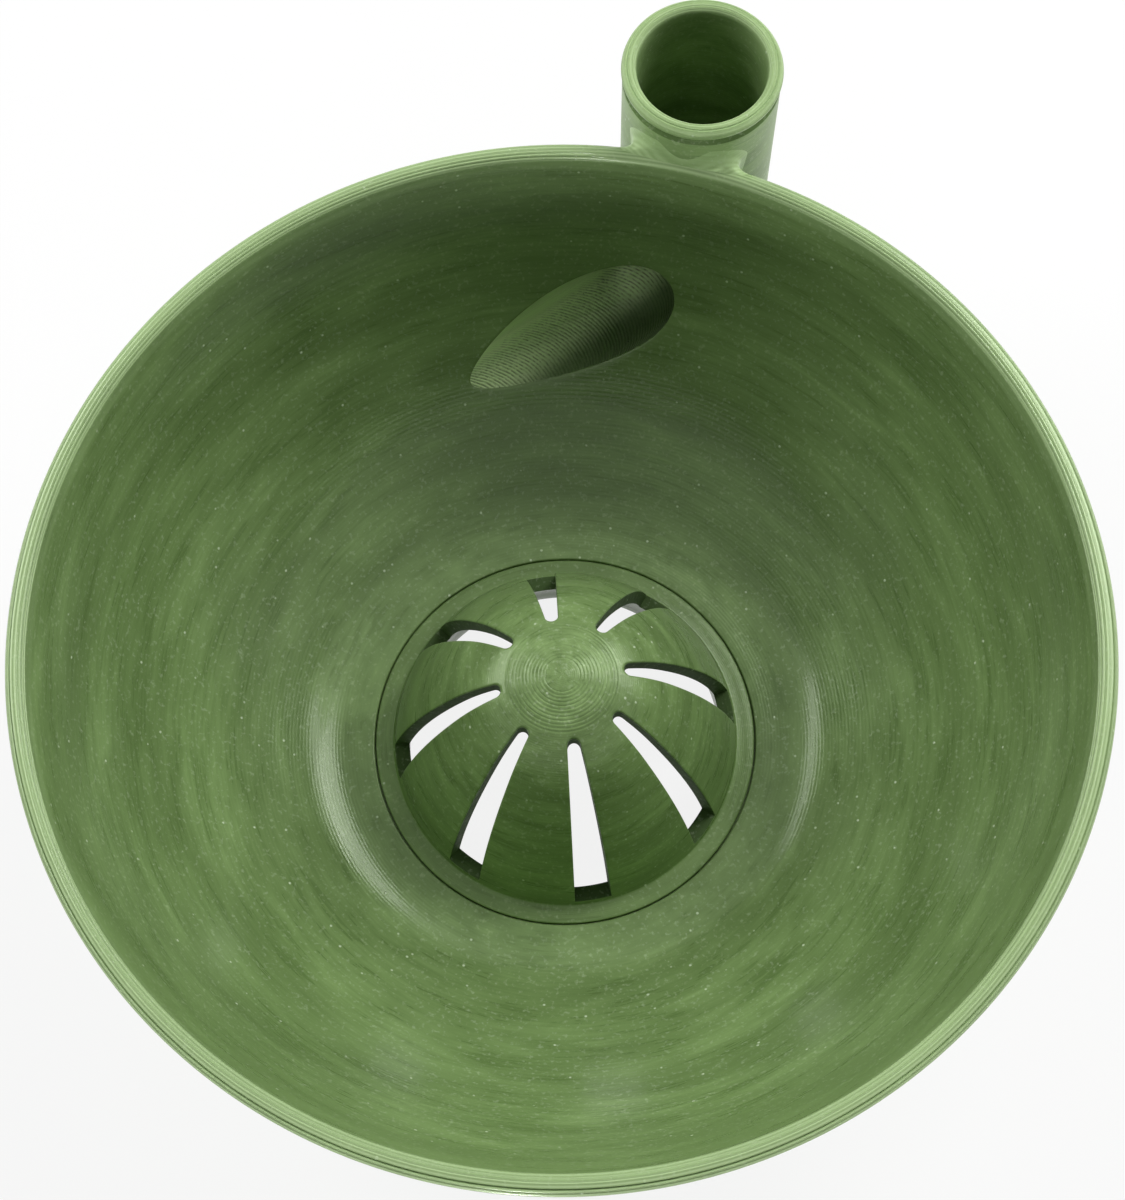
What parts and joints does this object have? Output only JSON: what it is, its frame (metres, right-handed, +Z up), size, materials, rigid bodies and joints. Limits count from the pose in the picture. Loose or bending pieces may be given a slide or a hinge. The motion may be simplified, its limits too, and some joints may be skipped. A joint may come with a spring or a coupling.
{
  "type": "fruit washing colander",
  "caption": "Round plastic bowl with a side feed tube that swirls tap water in through a slanted jet, and a slotted strainer dome over the drain that lifts out.",
  "frame": {"origin": "on the bowl's axis, in the plane that the foot ring stands on", "axes": "+Z up along the bowl's axis, +Y from the bowl's axis to the feed tube, +X to the right of the tube seen from the bowl's front"},
  "size_m": [0.16, 0.183, 0.077],
  "materials": {
    "bowl_plastic": "glossy green with fine layer lines round the bowl",
    "foot_plastic": "glossy green with fine layer lines",
    "tube_plastic": "glossy green with fine layer lines round the tube",
    "strainer_plastic": "glossy green with layer steps on the crown"
  },
  "bodies": {
    "bowl": {"bowl_shell": "bowl_plastic", "foot_ring": "foot_plastic", "feed_tube": "tube_plastic", "rim_saddle": "tube_plastic", "jet_elbow": "tube_plastic"},
    "strainer": {"strainer_dome": "strainer_plastic"}
  },
  "joints": [
    {"name": "strainer_lift", "type": "slide", "parent": "bowl", "child": "strainer", "axis": [0, 0, 1], "range_m": [0, 0.075]}
  ]
}
